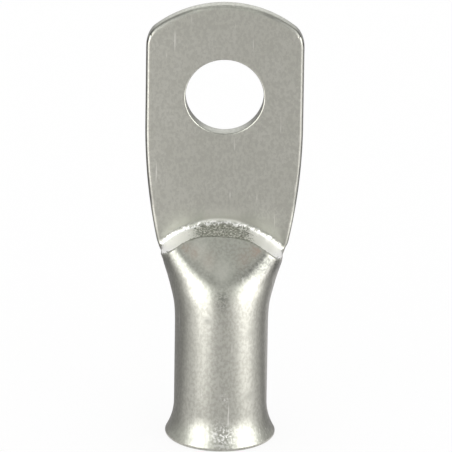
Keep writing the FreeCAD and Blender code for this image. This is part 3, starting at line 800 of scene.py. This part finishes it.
def makePlating():
    material = bpy.data.materials.new("tin_plating")
    material.use_nodes = True
    tree = material.node_tree
    shader = tree.nodes["Principled BSDF"]
    place = node(tree, "TexCoord").outputs["Object"]
    mark = {name: node(tree, "Attribute", attribute_name=name).outputs["Fac"]
            for name in ("peel", "shine", "band", "tint", "blotch", "edgeShade", "paintedLight", "shade", "bulgeShade")}
    noise = {name: noiseNode(tree, stretched(tree, place, stretch), scale, detail, roughness)
             for name, (scale, stretch, detail, roughness) in plating["patterns"].items()}
    scratch = mathNode(tree, "MULTIPLY", rangeNode(tree, noise["hairlines"], *plating["hairRange"]),
                       rangeNode(tree, noise["scratched"], *plating["scratchedRange"]))
    frayed = mathNode(tree, "MULTIPLY", mathNode(tree, "SUBTRACT", noise["peel"], 0.5), plating["scatter"])
    noise["scattered"] = mathNode(tree, "ADD", mark["shine"], frayed)
    mark["burnishAndHighlight"] = rangeNode(tree, mark["shine"], *plating["shineRange"])

    toned = rangeNode(tree, noise["tone"], *plating["toneRange"])
    colour = colourMix(tree, toned, plating["colour"], plating["light"])
    grained = rangeNode(tree, noise["grain"], *plating["grainRange"])
    colour = colourMix(tree, grained, colour, plating["grained"])
    # painted light, painted shade and the hairlines, laid over the tin
    for share, over in ((mark["paintedLight"], "paintedLight"), (mark["shade"], "shade"), (scratch, "scratch")):
        colour = colourMix(tree, share, colour, plating[over])
    for name, pattern, limits, over in plating["layers"]:
        share = mathNode(tree, "MULTIPLY", mark[name], rangeNode(tree, noise[pattern], *limits))
        colour = colourMix(tree, share, colour, plating[over])

    rough = rangeNode(tree, noise["grain"], *plating["roughRange"])
    rough = mathNode(tree, "ADD", rough, mathNode(tree, "MULTIPLY", mark["shine"], plating["shineRough"]))
    normal = bumpNode(tree, noise["hide"], plating["hideDepth"])
    plain = mathNode(tree, "SUBTRACT", 1.0, mark["shine"])
    pitted = mathNode(tree, "MAXIMUM", mathNode(tree, "MULTIPLY", mark["peel"], plain),
                      mathNode(tree, "MULTIPLY", mark["band"], plating["bandPits"]))
    normal = bumpNode(tree, noise["peel"], plating["peelDepth"], pitted, normal)

    shader.inputs["Metallic"].default_value = 1.0
    tree.links.new(colour, shader.inputs["Base Color"])
    tree.links.new(rough, shader.inputs["Roughness"])
    tree.links.new(normal, shader.inputs["Normal"])
    return material


writeMarks(lug.data)
lug.data.materials.append(makePlating())
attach(lug, "root")
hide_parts("cable_lug")
print("plating made")

# Floor, light and camera. Directions are an azimuth from the camera's side, -Y, towards +X, and an elevation.
# The zones are seen only by glossy rays, so they are what the metal reflects; for all other rays the world is
# plain white and the floor catches shadows.
studio = {
    "floorSize": 3.0,
    "floorShow": 0.85,          # share of the floor's white that shadows leave alone
    "floorColour": (0.97, 0.97, 0.97, 1.0),
    "floorRough": 0.9,
    "floorTint": (1.03, 1.0, 1.02, 1.0),        # of its reflection in the metal
    "white": (1.0, 1.0, 1.0, 1.0),
    "level": 0.95,              # of the reflected world and floor outside the zones
    "lightZones": [
        # azimuth, half width, soft edge, elevation, half height, soft edge, brightness
        (0.0, 40.0, 20.0, 52.0, 14.0, 12.0, 0.6),
        (0.0, 20.0, 20.0, 12.0, 20.0, 14.0, 0.82),
        (180.0, 80.0, 20.0, 14.0, 30.0, 14.0, 0.68),
        (180.0, 25.0, 20.0, 22.0, 15.0, 14.0, 1.6),
        (-47.0, 19.0, 38.0, 12.0, 30.0, 34.0, 5.0),
        (59.0, 24.0, 36.0, 12.0, 30.0, 34.0, 4.5),
    ],
    "floorZones": [
        # azimuth, half width, soft edge, distances from the axis where it starts and is full, brightness
        (-175.0, 85.0, 30.0, -1.0, 0.0, 0.38),
        (142.0, 10.0, 20.0, -1.0, 0.0, 0.9),
        (-40.0, 15.0, 22.0, 0.0, 0.026, 1.8),
        (59.0, 15.0, 24.0, 0.0, 0.021, 2.2),
        (-47.0, 19.0, 38.0, 0.038, 0.058, 4.6),
        (59.0, 24.0, 36.0, 0.038, 0.058, 4.2),
        (2.0, 12.0, 20.0, 0.036, 0.056, 0.72),
    ],
}


def insideZone(tree, angle, middle, half, soft):
    # 1 within half the width of the middle, easing to 0 across the soft edge, all in degrees; the turn from
    # the middle is brought between half a turn each way
    away = node(tree, "Math", operation="WRAP")
    tree.links.new(mathNode(tree, "SUBTRACT", angle, math.radians(middle)), away.inputs[0])
    away.inputs[1].default_value = math.pi
    away.inputs[2].default_value = -math.pi
    away = mathNode(tree, "ABSOLUTE", away.outputs[0])
    return rangeNode(tree, away, math.radians(half - soft / 2.0), math.radians(half + soft / 2.0), 1.0, 0.0)


def zoneLevel(tree, level, inside, brightness):
    # the level outside the zone and the zone's brightness in it
    change = mathNode(tree, "SUBTRACT", brightness, level)
    return mathNode(tree, "ADD", level, mathNode(tree, "MULTIPLY", inside, change))


def directionAngles(tree, vector):
    # azimuth from -Y towards +X, and elevation, of a vector
    parts = node(tree, "SeparateXYZ")
    tree.links.new(vector, parts.inputs[0])
    forwards = mathNode(tree, "MULTIPLY", parts.outputs["Y"], -1.0)
    azimuth = mathNode(tree, "ARCTAN2", parts.outputs["X"], forwards)
    return azimuth, mathNode(tree, "ARCSINE", parts.outputs["Z"])


def mixShader(tree, share, first, second):
    made = node(tree, "MixShader")
    for socket, part in zip(made.inputs, (share, first, second)):
        tree.links.new(part, socket)
    return made.outputs[0]


def makeFloor():
    bpy.ops.mesh.primitive_plane_add(size=studio["floorSize"])
    floor = bpy.context.object
    floor.name = "floor"
    material = bpy.data.materials.new("white_floor")
    material.use_nodes = True
    material.cycles.emission_sampling = "NONE"
    tree = material.node_tree
    shader = tree.nodes["Principled BSDF"]
    shader.inputs["Base Color"].default_value = studio["floorColour"]
    shader.inputs["Roughness"].default_value = studio["floorRough"]
    path = node(tree, "LightPath")
    place = node(tree, "TexCoord").outputs["Object"]
    azimuth, _ = directionAngles(tree, place)
    away = node(tree, "VectorMath", operation="LENGTH")
    tree.links.new(place, away.inputs[0])
    level = studio["level"]
    for middle, half, soft, start, full, brightness in studio["floorZones"]:
        inside = mathNode(tree, "MULTIPLY", insideZone(tree, azimuth, middle, half, soft),
                          rangeNode(tree, away.outputs["Value"], start, full))
        level = zoneLevel(tree, level, inside, brightness)
    white = node(tree, "Emission")
    mirrored = node(tree, "Emission")
    mirrored.inputs["Color"].default_value = studio["floorTint"]
    tree.links.new(level, mirrored.inputs["Strength"])
    seen = mathNode(tree, "MULTIPLY", path.outputs["Is Camera Ray"], studio["floorShow"])
    shown = mixShader(tree, seen, shader.outputs[0], white.outputs[0])
    shown = mixShader(tree, path.outputs["Is Glossy Ray"], shown, mirrored.outputs[0])
    tree.links.new(shown, tree.nodes["Material Output"].inputs["Surface"])
    floor.data.materials.append(material)


def makeWorld():
    world = bpy.data.worlds.new("studio")
    bpy.context.scene.world = world
    world.use_nodes = True
    world.cycles.sampling_method = "NONE"
    tree = world.node_tree
    plain = tree.nodes["Background"]
    plain.inputs["Color"].default_value = studio["white"]
    azimuth, elevation = directionAngles(tree, node(tree, "TexCoord").outputs["Generated"])
    level = studio["level"]
    for middle, half, soft, height, halfHeight, softHeight, brightness in studio["lightZones"]:
        inside = mathNode(tree, "MULTIPLY", insideZone(tree, azimuth, middle, half, soft),
                          insideZone(tree, elevation, height, halfHeight, softHeight))
        level = zoneLevel(tree, level, inside, brightness)
    mirrored = node(tree, "Background")
    mirrored.inputs["Color"].default_value = studio["white"]
    tree.links.new(level, mirrored.inputs["Strength"])
    glossy = node(tree, "LightPath").outputs["Is Glossy Ray"]
    shown = mixShader(tree, glossy, plain.outputs[0], mirrored.outputs[0])
    tree.links.new(shown, tree.nodes["World Output"].inputs["Surface"])


# The picture is square, 452 pixels a side, and the lug's axis stands a little left of its middle
cameraFit = {
    "elevation": 20.5,          # degrees above level
    "distance": 0.8,            # metres
    "lens": 734.5,              # millimetres
    "aimHeight": 0.01924,       # metres: height and X of the point that it looks at
    "aimSide": 0.00028,
    "roll": 0.83,               # degrees about the line of sight
    "clip": (0.01, 20.0),       # metres: nearest and furthest shown
}


def makeCamera():
    camera = bpy.data.cameras.new("camera")
    camera.lens = cameraFit["lens"]
    camera.clip_start, camera.clip_end = cameraFit["clip"]
    item = bpy.data.objects.new("camera", camera)
    bpy.context.scene.collection.objects.link(item)
    angle = math.radians(cameraFit["elevation"])
    back = Vector((0.0, -math.cos(angle), math.sin(angle)))
    target = Vector((cameraFit["aimSide"], 0.0, cameraFit["aimHeight"]))
    roll = Matrix.Rotation(math.radians(cameraFit["roll"]), 3, "Z")
    turn = back.to_track_quat("Z", "Y").to_matrix() @ roll
    item.matrix_world = Matrix.Translation(target + back * cameraFit["distance"]) @ turn.to_4x4()
    bpy.context.scene.camera = item


makeFloor()
makeWorld()
makeCamera()
bpy.context.scene.view_settings.view_transform = "Standard"
print("stage made")
